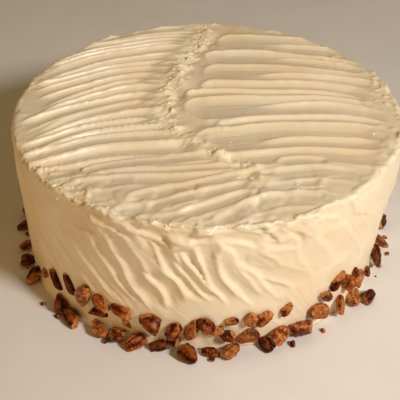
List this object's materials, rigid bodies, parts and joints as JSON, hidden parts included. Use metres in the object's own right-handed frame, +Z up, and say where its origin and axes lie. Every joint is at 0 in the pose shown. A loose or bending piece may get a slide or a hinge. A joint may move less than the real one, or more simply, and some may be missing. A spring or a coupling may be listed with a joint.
{
  "type": "layer cake",
  "caption": "Uncut round layer cake, covered in spatula-stroked cream frosting, with chopped pecans pressed around its foot.",
  "frame": {"origin": "centre of the flat round base, on the surface that the cake stands on", "axes": "+Z up, the front that the picture shows faces -Y, +X to the right"},
  "size_m": [0.2431, 0.2481, 0.0925],
  "materials": {
    "frosting": "satin",
    "pecan": "satin"
  },
  "bodies": {
    "root": {"frosted_cake": "frosting", "pecan_01": "pecan", "pecan_02": "pecan", "pecan_03": "pecan", "pecan_04": "pecan", "pecan_05": "pecan", "pecan_06": "pecan", "pecan_07": "pecan", "pecan_08": "pecan", "pecan_09": "pecan", "pecan_10": "pecan", "pecan_11": "pecan", "pecan_12": "pecan", "pecan_13": "pecan", "pecan_14": "pecan", "pecan_15": "pecan", "pecan_16": "pecan", "pecan_17": "pecan", "pecan_18": "pecan", "pecan_19": "pecan", "pecan_20": "pecan", "pecan_21": "pecan", "pecan_22": "pecan", "pecan_23": "pecan", "pecan_24": "pecan", "pecan_25": "pecan", "pecan_26": "pecan", "pecan_27": "pecan", "pecan_28": "pecan", "pecan_29": "pecan", "pecan_30": "pecan", "pecan_31": "pecan", "pecan_32": "pecan", "pecan_33": "pecan", "pecan_34": "pecan", "pecan_35": "pecan", "pecan_36": "pecan", "pecan_37": "pecan", "pecan_38": "pecan", "pecan_39": "pecan", "pecan_40": "pecan", "pecan_41": "pecan", "pecan_42": "pecan", "pecan_43": "pecan", "pecan_44": "pecan", "pecan_45": "pecan", "pecan_46": "pecan", "pecan_47": "pecan", "pecan_48": "pecan", "pecan_49": "pecan", "pecan_50": "pecan", "pecan_51": "pecan", "pecan_52": "pecan", "pecan_53": "pecan", "pecan_54": "pecan", "pecan_55": "pecan", "pecan_56": "pecan", "pecan_57": "pecan", "pecan_58": "pecan", "pecan_59": "pecan"}
  },
  "joints": []
}
